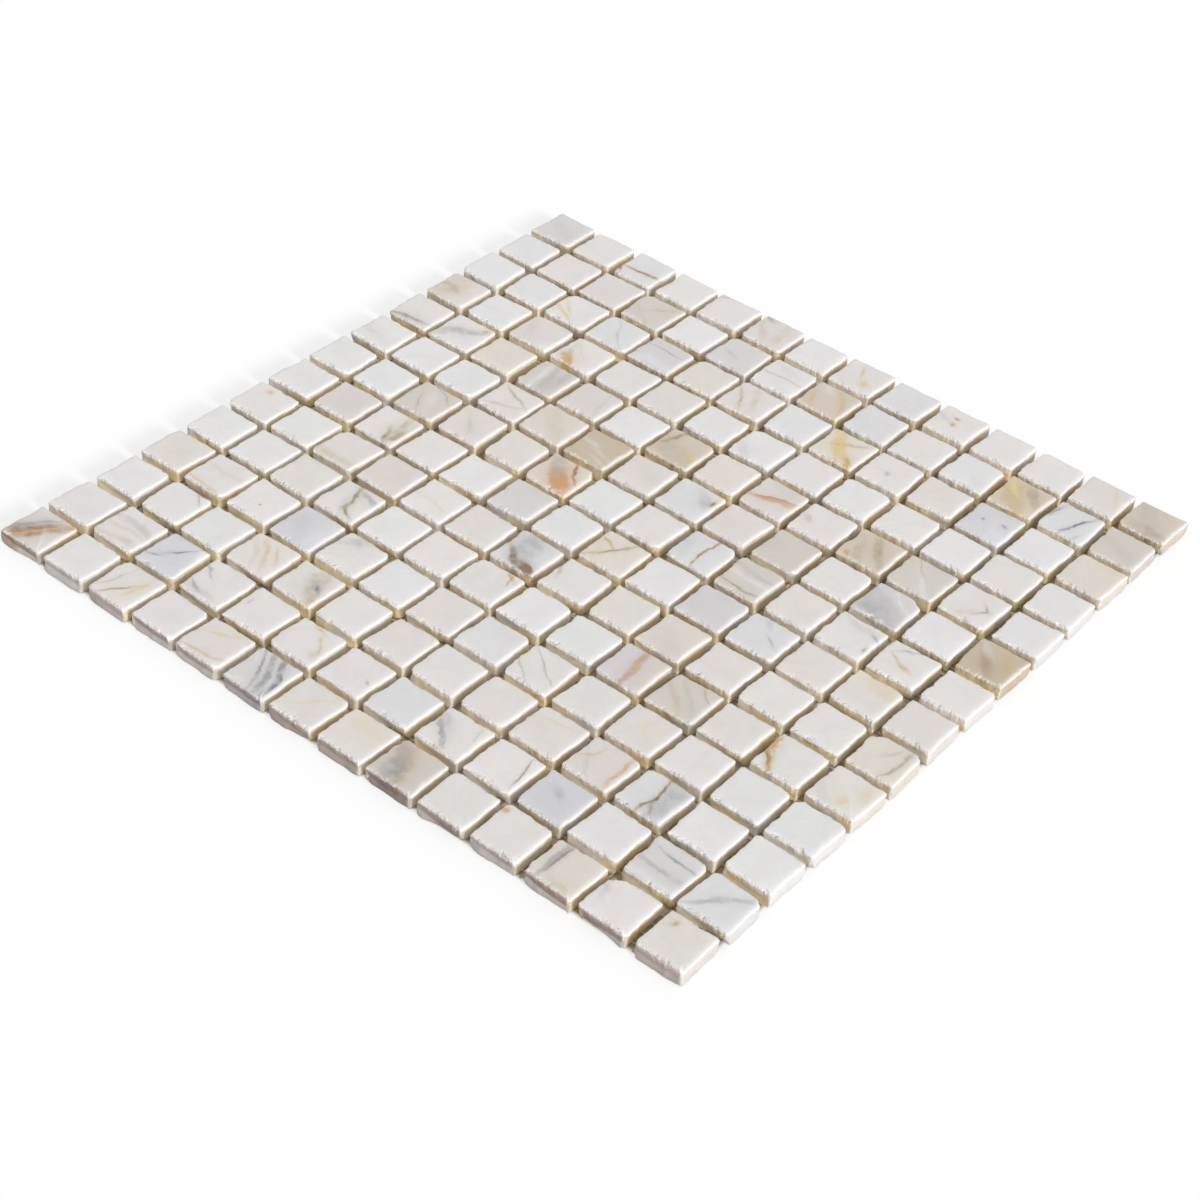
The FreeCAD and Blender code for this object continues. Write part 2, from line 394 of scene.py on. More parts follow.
class Shader:
    """A material's or the sky's node tree."""

    def __init__(self, tree: bpy.types.NodeTree) -> None:
        """Takes a tree and empties it."""
        self.tree = tree
        self.tree.nodes.clear()

    def node(self, kind: str, settings: dict, inputs: dict, output: str | int = 0) -> Socket | None:
        """Adds one node.

        Args:
            kind: The node's type, without the ShaderNode that all of them begin with.
            settings: Its properties, set before its sockets are fed.
            inputs: Values or sockets by input name or number.
            output: Which output is wanted.
        Returns:
            That output, if the node has any.
        """
        node = self.tree.nodes.new("ShaderNode" + kind)
        for name, setting in settings.items():
            setattr(node, name, setting)
        for name, value in inputs.items():
            if isinstance(value, Socket):
                self.tree.links.new(value.output, node.inputs[name])
            else:
                node.inputs[name].default_value = value
        return Socket(self, node.outputs[output]) if len(node.outputs) else None

    def maths(self, operation: str, *values: Value) -> Socket:
        """A Math node on one to three values."""
        return self.node("Math", {"operation": operation}, dict(enumerate(values)))

    def attribute(self, name: str, output: str = "Fac") -> Socket:
        """One of the mesh's own attributes."""
        return self.node("Attribute", {"attribute_name": name}, {}, output)

    def coordinates(self) -> Socket:
        """Object coordinates."""
        return self.node("TexCoord", {}, {}, "Object")

    def axis(self, vector: Socket, name: str) -> Socket:
        """One axis of a vector: X, Y or Z."""
        return self.node("SeparateXYZ", {}, {"Vector": vector}, name)

    def noise(self, place: Socket, noise: Noise) -> Socket:
        """A noise, read at a place."""
        return self.node("TexNoise", {"noise_dimensions": "3D"},
                         {"Vector": place, "Scale": noise.waves, "Detail": noise.layers,
                          "Distortion": noise.warp}, "Fac")

    def step(self, value: Socket, low: float, high: float) -> Socket:
        """A smooth step from 0 at low to 1 at high."""
        return self.node("MapRange", {"interpolation_type": "SMOOTHSTEP"},
                         {"Value": value, "From Min": low, "From Max": high})

    def blend(self, first: Colour, second: Colour, share: Value, way: str = "MIX") -> Socket:
        """Two colours mixed, with the share clamped to 0 to 1.

        Args:
            first: The colour where the share is 0.
            second: The colour where it is 1.
            share: The share of the second.
            way: MIX, or MULTIPLY to tint the first with the second.
        Returns:
            The mixed colour.
        """
        first, second = (colour if isinstance(colour, Socket) else (*colour, 1.0)
                         for colour in (first, second))
        return self.node("Mix", {"data_type": "RGBA", "blend_type": way},
                         {0: share, 6: first, 7: second}, 2)

    def scaled(self, colour: Socket, factor: Socket) -> Socket:
        """A colour made darker or lighter."""
        return self.node("VectorMath", {"operation": "SCALE"},
                         {"Vector": colour, "Scale": factor}, "Vector")

    def bump(self, height: Socket) -> Socket:
        """The normals of a relief, with its height in millimetres."""
        return self.node("Bump", {}, {"Strength": 1.0, "Distance": MM, "Height": height})

    def seen(self) -> Socket:
        """What the camera sees, straight or in a gloss or glass.

        Returns:
            1 there, and 0 for bounced light.
        """
        rays = [self.node("LightPath", {}, {}, name)
                for name in ("Is Camera Ray", "Is Glossy Ray", "Is Transmission Ray")]
        return self.maths("MINIMUM", rays[0] + rays[1] + rays[2], 1.0)

    def finish(self, inputs: dict, settings: dict | None = None) -> None:
        """Adds the surface's shader and the output.

        Args:
            inputs: The shader's sockets.
            settings: Its properties.
        """
        surface = self.node("BsdfPrincipled", settings or {}, inputs)
        self.node("OutputMaterial", {}, {"Surface": surface})


def new_material(name: str) -> tuple[bpy.types.Material, Shader]:
    """Starts a material.

    Args:
        name: Its name.
    Returns:
        The material and its empty shader.
    """
    material = bpy.data.materials.new(name)
    material.use_nodes = True
    return material, Shader(material.node_tree)


@dataclass(frozen=True)
class Marble:
    """Veined marble: a honed face, raw split sides, and a worn edge between the two.

    Colours are linear reflectance. A step is where a smooth step starts and ends, and shares are
    the even part and then the part that comes in blotches. wander is how far warp, sway and
    ripple move a streak, in half sides of a chip. halo is its strength and how fast it fades.
    """

    streaks: int = 3
    face_roughness: float = 0.40
    side_roughness: float = 0.85
    shine: float = 0.45
    cloudiness: float = 0.035
    speckle: float = 0.035
    veil: float = 0.05
    wander: Triple = (0.42, 0.7, 0.12)
    halo: Pair = (0.3, 0.16)
    clouds: Noise = Noise(85.0, 4.0)
    grey_veils: Noise = Noise(48.0, 5.0, 0.7)
    grey_step: Pair = (0.88, 1.0)
    warm_veils: Noise = Noise(31.0, 3.0, 0.4)
    warm_step: Pair = (0.55, 0.8)
    vein_warp: Noise = Noise(95.0, 4.0)
    vein_sway: Noise = Noise(40.0, 2.0)
    vein_ripple: Noise = Noise(420.0, 2.0)
    vein_gaps: Noise = Noise(260.0)
    gap_step: Pair = (0.25, 0.62)
    gap_depth: float = 0.65
    blotches: Noise = Noise(75.0)
    blotch_step: Pair = (0.33, 0.67)
    grain: Noise = Noise(700.0)
    crumb_shade_step: Pair = (0.35, 0.6)
    dimples: Noise = Noise(240.0, 2.0)
    pit_shadows: Noise = Noise(1900.0, 2.0)
    pit_shadow_step: Pair = (0.5, 0.6)
    # Tint of the raw sides: partly the split stone's colour, partly painted shade.
    split_tint_and_shade: Triple = (0.60, 0.50, 0.475)
    # White of the painted highlights on the worn +X edge and the front corner.
    highlight_white: Triple = (0.87, 0.865, 0.86)
    # Tan of the stain inside the joints: partly resin, partly painted shade.
    resin: Triple = (0.84, 0.70, 0.44)
    # Colour of a painted shadow line under the rim.
    rim_shadow: Triple = (0.42, 0.27, 0.12)
    # Grey specks of painted shade on the crumbled edge, and painted shadows in its pits.
    crumb_shade: Triple = (0.70, 0.68, 0.67)
    pit_shadow: Triple = (0.34, 0.29, 0.26)
    translucence: float = 0.55
    light_depth: float = 4.0 * MM
    rim_shadow_spread: float = 1.1 * MM
    shade_onset_step: Pair = (0.05 * MM, 0.25 * MM)
    resin_and_shade_rise: Pair = (0.3 * MM, 7.5 * MM)
    resin_and_shade_fall: Pair = (0.92, 0.8)
    raw_step: Pair = (0.05, 0.15)
    inside_tint_cut: Pair = (0.68, 0.32)
    resin_and_shade_shares: Pair = (0.3, 1.15)
    rim_shadow_shares: Pair = (0.08, 0.3)
    raw_rim_shadow: float = 0.15
    worn_highlight_share: float = 0.7
    pit_shadow_share: float = 0.5
    grain_relief: float = 0.22
    dimple_relief: float = 0.012

    def ground(self, shader: Shader, place: Socket) -> Socket:
        """The stone's own colour, with soft clouds and a faint grey and a faint warm veil.

        Args:
            shader: The material's shader.
            place: The stone's own place.
        Returns:
            The colour.
        """
        cloud = shader.noise(place, self.clouds)
        colour = shader.scaled(shader.attribute("ground", "Color"),
                               1.0 - self.cloudiness + cloud * (2 * self.cloudiness))
        ridge = 1.0 - abs(shader.noise(place, self.grey_veils) * 2.0 - 1.0)
        colour = shader.blend(colour, Tone.GREY.value, shader.step(ridge, *self.grey_step) * self.veil)
        warm = shader.step(shader.noise(place, self.warm_veils), *self.warm_step)
        return shader.blend(colour, Tone.YELLOW.value, warm * self.veil)

    def streaked(self, shader: Shader, place: Socket, colour: Socket) -> Socket:
        """The colour with each streak over it.

        A streak's share is exp(-across^4), less at its gaps, and a halo of 0.3
        exp(-0.16 across^2), both times exp(-along^2), where noise warps along and across.
        Args:
            shader: The material's shader.
            place: The stone's own place.
            colour: The ground's colour.
        Returns:
            The colour.
        """
        warp = shader.noise(place, self.vein_warp) - 0.5
        sway = shader.noise(place, self.vein_sway) - 0.5
        ripple = shader.noise(place, self.vein_ripple) - 0.5
        whole = shader.step(shader.noise(place, self.vein_gaps), *self.gap_step)
        warped, swayed, rippled = self.wander
        for number in range(self.streaks):
            local = shader.attribute(f"streak_{number}", "Vector")
            along, across, per_width = (shader.axis(local, name) for name in "XYZ")
            across = across + (warp * warped + sway * swayed + ripple * rippled) * per_width
            square = across * across
            core = (square * square * -1.0).exp() * (1.0 - self.gap_depth + whole * self.gap_depth)
            halo = (square * -self.halo[1]).exp() * self.halo[0]
            fade = ((along + warp) * (along + warp) * -1.0).exp()
            tone = f"streak_{number}_tone"
            share = (core + halo) * fade * shader.attribute(tone, "Alpha")
            colour = shader.blend(colour, shader.attribute(tone, "Color"), share)
        return colour

    def stained(self, shader: Shader, spot: Socket, colour: Socket, raw: Socket,
                inside: Socket) -> Socket:
        """The colour with the tint of the raw split sides, and with stains and painted shade inside the
        joints.

        The tint is partly the split stone's own colour and partly painted shade, and it is cut back
        inside the joints. Inside the joints a tan tint rises from the net in patches, darker towards
        the bottom: partly resin and partly painted shade. A painted shadow line follows under the rim,
        as exp(-(depth / spread)^2). Both start just below the rim.
        Args:
            shader: The material's shader.
            spot: Object coordinates.
            colour: The stone's colour.
            raw: How raw the surface is.
            inside: 1 where it faces a joint.
        Returns:
            The colour.
        """
        below = shader.attribute("below")
        # The painted shade in the joints starts just below the rim.
        shade_onset = shader.step(below, *self.shade_onset_step)
        blotch = shader.step(shader.noise(spot, self.blotches), *self.blotch_step)
        even, patchy = self.inside_tint_cut
        # Painted shade: the raw sides' tint, partly the split stone's own colour and partly shade, cut
        # back inside the joints.
        tint = raw * (1.0 - inside * (even + blotch * patchy))
        colour = shader.blend(colour, self.split_tint_and_shade, tint, "MULTIPLY")
        # Inside the joints, darker towards the bottom: a tan tint that is partly resin stain and partly
        # painted shade.
        most, loss = self.resin_and_shade_fall
        low = (most - shader.step(shader.axis(spot, "Z"), *self.resin_and_shade_rise) * loss) * shade_onset
        stain_and_shade_mask = inside * shader.step(raw, *self.raw_step)
        even, patchy = self.resin_and_shade_shares
        colour = shader.blend(colour, self.resin, low * (even + blotch * patchy) * stain_and_shade_mask)
        # Painted shadow: a dark line under the rim, where the rim shades the wall below it.
        under = below / self.rim_shadow_spread
        line = (under * under * -1.0).exp() * shade_onset
        even, patchy = self.rim_shadow_shares
        rim_shadow = line * stain_and_shade_mask * (raw * self.raw_rim_shadow + blotch * patchy + even)
        return shader.blend(colour, self.rim_shadow, rim_shadow)

    def material(self) -> bpy.types.Material:
        """Builds the material.

        Returns:
            The marble, which reads the attributes that ChipRow writes.
        """
        material, shader = new_material("veined_marble")
        place = shader.attribute("stone_place", "Vector")
        spot = shader.coordinates()
        bruise = shader.attribute("bruise")
        inside = shader.attribute("inside")
        # Painted highlight: the front vertical corner between +X and -Y is painted white and kept clear
        # of the tint.
        corner_highlight = shader.attribute("corner_highlight") * (1.0 - inside)
        raw = shader.attribute("raw") * (1.0 - corner_highlight)
        grain = shader.noise(spot, self.grain)
        colour = self.streaked(shader, place, self.ground(shader, place))
        colour = self.stained(shader, spot, colour, raw, inside)
        # Painted shade: grey specks over the bruised, crumbled edge, and darker painted shadows in its
        # pits.
        crumb_shade = shader.step(grain, *self.crumb_shade_step)
        colour = shader.blend(colour, self.crumb_shade, bruise * crumb_shade)
        pit_shadows = shader.step(shader.noise(spot, self.pit_shadows), *self.pit_shadow_step) * bruise
        colour = shader.blend(colour, self.pit_shadow, pit_shadows * self.pit_shadow_share)
        colour = shader.scaled(colour, 1.0 - self.speckle + grain * (2 * self.speckle))
        # Painted highlight: the worn +X edge, which faces the lamp, and the front corner are whitened.
        worn = shader.maths("MAXIMUM", shader.attribute("worn") * self.worn_highlight_share, corner_highlight)
        colour = shader.blend(colour, self.highlight_white, worn)
        rough = self.face_roughness + raw * (self.side_roughness - self.face_roughness)
        dimples = shader.noise(spot, self.dimples) * self.dimple_relief
        relief = grain * raw * self.grain_relief + dimples
        shader.finish({"Base Color": colour, "Roughness": rough, "Normal": shader.bump(relief),
                       "Specular IOR Level": self.shine, "Subsurface Weight": self.translucence,
                       "Subsurface Radius": (1.0, 1.0, 1.0), "Subsurface Scale": self.light_depth},
                      {"subsurface_method": "BURLEY"})
        return material


@dataclass(frozen=True)
class CoatedGlass:
    """Strands of glass fibre in a tan coating, with fine filaments along them."""

    light: Triple = (0.84, 0.77, 0.62)
    dark: Triple = (0.70, 0.60, 0.44)
    filaments: float = 9.0
    rib_shade: float = 0.12
    shade_step: Pair = (0.35, 0.75)
    roughness: Pair = (0.45, 0.2)
    relief: float = 0.03
    patches: Noise = Noise(380.0)

    def material(self) -> bpy.types.Material:
        """Builds the material.

        Returns:
            The coating, which reads the across attribute that StrandLayer writes.
        """
        material, shader = new_material("coated_glass_fibre")
        ribs = shader.maths("SINE", shader.attribute("across") * (self.filaments * math.pi))
        patches = shader.noise(shader.coordinates(), self.patches)
        shade = shader.step(patches - ribs * self.rib_shade, *self.shade_step)
        shader.finish({"Base Color": shader.blend(self.light, self.dark, shade),
                       "Roughness": self.roughness[0] + patches * self.roughness[1],
                       "Normal": shader.bump(ribs * self.relief + patches * self.relief)})
        return material


@dataclass(frozen=True)
class Resin:
    """Set glue, tan and satin."""

    light: Triple = (0.78, 0.68, 0.50)
    dark: Triple = (0.52, 0.41, 0.26)
    roughness: Pair = (0.2, 0.15)
    relief: float = 0.08
    clouds: Noise = Noise(500.0)

    def material(self) -> bpy.types.Material:
        """Builds the material.

        Returns:
            The glue.
        """
        material, shader = new_material("set_glue")
        cloud = shader.noise(shader.coordinates(), self.clouds)
        shader.finish({"Base Color": shader.blend(self.light, self.dark, cloud),
                       "Roughness": self.roughness[0] + cloud * self.roughness[1],
                       "Normal": shader.bump(cloud * self.relief)})
        return material


@dataclass(frozen=True)
class PaleFloor:
    """A matt floor that looks white, but has a tan painted shade tint under the sheet, and sends little
    light back.
    """

    shown: Triple = (0.38, 0.38, 0.38)
    bounced: Triple = (0.34, 0.33, 0.32)
    shade_tint_under_sheet: Triple = (0.46, 0.38, 0.27)
    glow: float = 0.65
    sheet_side: Pair = (149.0 * MM, 151.5 * MM)

    def covered(self, shader: Shader) -> Socket:
        """What the sheet covers, by the greater of |x| and |y|.

        Args:
            shader: The material's shader.
        Returns:
            1 under the sheet and 0 beyond its sides.
        """
        spot = shader.coordinates()
        x, y = (abs(shader.axis(spot, name)) for name in "XY")
        return 1.0 - shader.step(shader.maths("MAXIMUM", x, y), *self.sheet_side)

    def material(self) -> bpy.types.Material:
        """Builds the material.

        Returns:
            The floor's matt white.
        """
        material, shader = new_material("pale_floor")
        covered, seen = self.covered(shader), shader.seen()
        # Painted shade: under the sheet the floor is tan and has no glow, so it reads as the shaded
        # floor of the joints.
        colour = shader.blend(shader.blend(self.bounced, self.shown, seen), self.shade_tint_under_sheet, covered)
        light = shader.blend((0.0, 0.0, 0.0), (self.glow,) * 3, seen * (1.0 - covered))
        shader.finish({"Base Color": colour, "Roughness": 1.0, "Specular IOR Level": 0.0,
                       "Emission Color": light, "Emission Strength": 1.0})
        return material


def mesh_object(name: str, points: np.ndarray, faces: Sequence[Sequence[int]],
                attributes: dict[str, np.ndarray], finish: bpy.types.Material,
                smooth: np.ndarray | None = None) -> bpy.types.Object:
    """Makes a mesh piece.

    Args:
        name: The piece's name.
        points: Vertices, in metres.
        faces: Vertex numbers of each face, anticlockwise from outside.
        attributes: Arrays of one value, three or four for each vertex.
        finish: Its material.
        smooth: Which faces are smooth shaded, all of them if it is left out.
    Returns:
        The object, at the origin.
    """
    mesh = bpy.data.meshes.new(name)
    mesh.from_pydata(points.reshape(-1, 3).tolist(), [], faces)
    kinds = {1: ("FLOAT", "value"), 3: ("FLOAT_VECTOR", "vector"), 4: ("FLOAT_COLOR", "color")}
    for label, values in attributes.items():
        flat = np.asarray(values, np.float32).reshape(len(mesh.vertices), -1)
        kind, field_name = kinds[flat.shape[1]]
        mesh.attributes.new(label, kind, "POINT").data.foreach_set(field_name, flat.ravel())
    if smooth is None:
        smooth = np.ones(len(mesh.polygons), bool)
    mesh.polygons.foreach_set("use_smooth", smooth)
    mesh.materials.append(finish)
    mesh.update()
    piece = bpy.data.objects.new(name, mesh)
    bpy.context.scene.collection.objects.link(piece)
    return piece


def dress(piece: bpy.types.Object, slot: str, *nodes: str) -> None:
    """Joins a piece to the object's body.

    Args:
        piece: The piece.
        slot: The record's material slot; not used.
        nodes: CAD nodes that it stands for.
    """
    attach(piece, "root")
    if nodes:
        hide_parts(*nodes)
    LOG.info("%s: %d faces", piece.name, len(piece.data.polygons))


def stacks_of_rings(count: int, rings: int, around: int, turned: bool = False) -> list[list[int]]:
    """Faces of closed stacks of rings: quads between neighbours, then each foot and each top.

    Args:
        count: How many stacks there are.
        rings: Rings of each, from its foot up.
        around: Points of each ring, anticlockwise seen from above.
        turned: Whether the rings run clockwise instead.
    Returns:
        Vertex numbers of each face, anticlockwise from outside.
    """
    ring, step = np.meshgrid(np.arange(rings - 1) * around, np.arange(around), indexing="ij")
    after = (step + 1) % around
    above = ring + around
    band = np.stack([ring + step, ring + after, above + after, above + step], -1).reshape(-1, 4)
    start = np.arange(count)[:, None] * rings * around
    foot = np.arange(around)[::-1] + start
    top = np.arange(around) + start + (rings - 1) * around
    groups = [(band + start[..., None]).reshape(-1, 4), foot, top]
    return [face for group in groups for face in group[:, ::-1 if turned else 1].tolist()]


def cad_vertices(node: str) -> np.ndarray:
    """Reads the vertices of a CAD node.

    Args:
        node: The node's name.
    Returns:
        Their places in metres, one to a row.
    """
    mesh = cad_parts[node].data
    flat = np.empty(len(mesh.vertices) * 3)
    mesh.vertices.foreach_get("co", flat)
    return flat.reshape(-1, 3)


@dataclass(frozen=True)
class Side:
    """How one side of every chip is split and worn, with lengths in metres.

    It has this many samples, and all of it is worn in by inset. Its top edge is worn back by
    setback and down by drop, and crumbs up to jag broke from it. wave is how far it strays from
    its flat. Above its crease it overhangs by the slope over, and below it flares by flare. roll
    is how far its lower corners are rounded off. blunt to bruise are shares: how patchy its
    rawness is, which paints the flat under its crease lighter and the overhang over it darker as
    painted light and shade; how raw it is, which sets its roughness and a tint that is partly
    painted shade; how far its worn edge is whitened as a painted highlight; and how bruised,
    which sets the painted shade of its crumbs.
    """

    samples: int
    inset: float
    setback: float
    drop: float
    jag: float
    wave: float
    over: float
    flare: float
    roll: float
    blunt: float
    raw: float
    worn: float
    bruise: float


# raw sets each side's roughness and its tint, which is partly painted shade: full on -Y, the side in
# shade, and slight on +X, the side that faces the lamp.
SIDES = (
    # +X faces the lamp: worn whitens its edge as a painted highlight.
    Side(samples=36, inset=0.05 * MM, setback=0.80 * MM, drop=0.45 * MM, jag=0.12 * MM,
         wave=0.36 * MM, over=0.04, flare=0.03, roll=0.4, blunt=0.0, raw=0.16, worn=1.0, bruise=0.1),
    Side(samples=26, inset=0.05 * MM, setback=0.30 * MM, drop=0.28 * MM, jag=0.30 * MM,
         wave=0.50 * MM, over=0.15, flare=0.15, roll=0.4, blunt=0.6, raw=1.0, worn=0.0, bruise=0.35),
    Side(samples=36, inset=0.0, setback=0.22 * MM, drop=0.18 * MM, jag=0.22 * MM,
         wave=0.70 * MM, over=0.05, flare=0.04, roll=1.0, blunt=0.5, raw=0.5, worn=0.0, bruise=0.25),
    Side(samples=70, inset=0.0, setback=0.08 * MM, drop=0.10 * MM, jag=0.90 * MM,
         wave=0.30 * MM, over=0.38, flare=0.6, roll=1.0, blunt=1.0, raw=1.0, worn=0.0, bruise=1.0),
)


class Outline:
    """Points round a chip, anticlockwise from the start of its +X side, closer at the corners."""

    crowding = 1.25
    corner_easing = 8

    def __init__(self, sides: Sequence[Side]) -> None:
        """Spreads the points: on a side of -1 to 1 they lie at sin(crowding t) / sin(crowding).

        Args:
            sides: The four sides, from +X anticlockwise.
        """
        self.sides = sides
        counts = [side.samples for side in sides]
        self.side = np.repeat(np.arange(len(sides)), counts)
        evenly = np.concatenate([(np.arange(n) + 0.5) / n * 2 - 1 for n in counts])
        self.along = np.sin(self.crowding * evenly) / math.sin(self.crowding)
        self.angle = self.side * np.pi / 2 + np.arctan(self.along)
        self.ways = np.stack([np.cos(self.angle), np.sin(self.angle)], -1)
        self.place = (self.side + (self.along + 1) / 2) / len(sides)
        self.count = len(self.side)

    def eased(self, values: np.ndarray, passes: int) -> np.ndarray:
        """A running mean along the outline, weights 1 2 1.

        Args:
            values: Values for each point of the outline, along the last axis.
            passes: How many times it is taken.
        Returns:
            The eased values.
        """
        for _ in range(passes):
            values = (np.roll(values, 1, -1) + 2 * values + np.roll(values, -1, -1)) / 4
        return values

    def measure(self, name: str) -> np.ndarray:
        """One measure of the four sides."""
        return np.array([getattr(side, name) for side in self.sides], float)

    def by_side(self, name: str) -> np.ndarray:
        """One measure of the sides at each point, eased over the corners."""
        return self.eased(self.measure(name)[self.side], self.corner_easing)

    def wander(self, draw: np.random.Generator, count: int, waves: int) -> np.ndarray:
        """Smooth random curves that close on themselves.

        Random knots from -1 to 1, joined by half cosines.
        Args:
            draw: Random numbers.
            count: How many curves.
            waves: Knots round the outline.
        Returns:
            An array of count by points.
        """
        levels = draw.uniform(-1, 1, (count, waves))
        place = self.place * waves
        low = place.astype(int)
        share = (1 - np.cos(np.pi * (place - low))) / 2
        return levels[:, low] * (1 - share) + levels[:, (low + 1) % waves] * share


@dataclass
class Flats:
    """The planes that bound each chip of a row, read from its CAD solids.

    normals is chips x planes x 3 and offsets is chips x planes, about each chip's axis. levels
    are the heights of the foot, the belly, the foot of the worn edge and the top.
    """

    centres: np.ndarray
    normals: np.ndarray
    offsets: np.ndarray
    levels: np.ndarray
    side_facing: float = 0.94
    grazing: float = 0.05

    @classmethod
    def of_row(cls, node: str, centres: np.ndarray) -> "Flats":
        """Reads a row.

        Args:
            node: The CAD node of the row.
            centres: The chips' axes, as x and y.
        Returns:
            The planes, three corners of each triangle giving one.
        """
        corners = cad_vertices(node)
        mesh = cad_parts[node].data
        mesh.calc_loop_triangles()
        index = np.empty(len(mesh.loop_triangles) * 3, int)
        mesh.loop_triangles.foreach_get("vertices", index)
        triangles = corners[index.reshape(-1, 3)]
        spans = np.abs(triangles[:, :, 0].mean(1)[:, None] - centres[:, 0])
        order = np.argsort(spans.argmin(1), kind="stable")
        triangles = triangles[order].reshape(len(centres), -1, 3, 3)
        triangles = triangles - np.pad(centres, ((0, 0), (0, 1)))[:, None, None, :]
        normals = np.cross(triangles[:, :, 1] - triangles[:, :, 0],
                           triangles[:, :, 2] - triangles[:, :, 0])
        normals /= np.linalg.norm(normals, axis=-1, keepdims=True)
        offsets = (normals * triangles[:, :, 0]).sum(-1)
        return cls(centres, normals, offsets, np.unique(corners[:, 2].round(6)))

    def owners(self) -> np.ndarray:
        """Which planes belong to which side: those that face within about 20 degrees of it.

        Returns:
            1 where a plane is a side's, chips x planes x 4.
        """
        turns = np.arange(4) * np.pi / 2
        facing = self.normals[..., :2] @ np.stack([np.cos(turns), np.sin(turns)])
        return (facing > self.side_facing).astype(float)

    def reach(self, ways: np.ndarray, heights: np.ndarray, recess: np.ndarray) -> np.ndarray:
        """How far each chip's surface lies from its axis.

        The least, over the planes that face a way, of (offset - recess - nz z) / (n . way).
        Args:
            ways: Unit vectors in plan, around x 2.
            heights: Heights, chips x rings x around.
            recess: How far each side is cut back, chips x 4 x rings x around.
        Returns:
            Distances, chips x rings x around.
        """
        facing = np.einsum("cpi,ui->cpu", self.normals[..., :2], ways)[:, :, None, :]
        cut = np.einsum("cps,csru->cpru", self.owners(), recess)
        room = self.offsets[:, :, None, None] - self.normals[:, :, 2, None, None] * heights[:, None]
        distances = (room - cut) / np.maximum(facing, self.grazing)
        return np.where(facing > self.grazing, distances, np.inf).min(1)


@dataclass
class TopEdge:
    """How a row's top edges are worn: arrays of chips x around, or of around alone for jag.

    jag is the depth that the crumbs have at each point, and crumb is each one's share of it. rim
    is the height at which the worn edge begins. Lengths are in metres.
    """

    crumb: np.ndarray
    jag: np.ndarray
    drop: np.ndarray
    setback: np.ndarray
    rim: np.ndarray


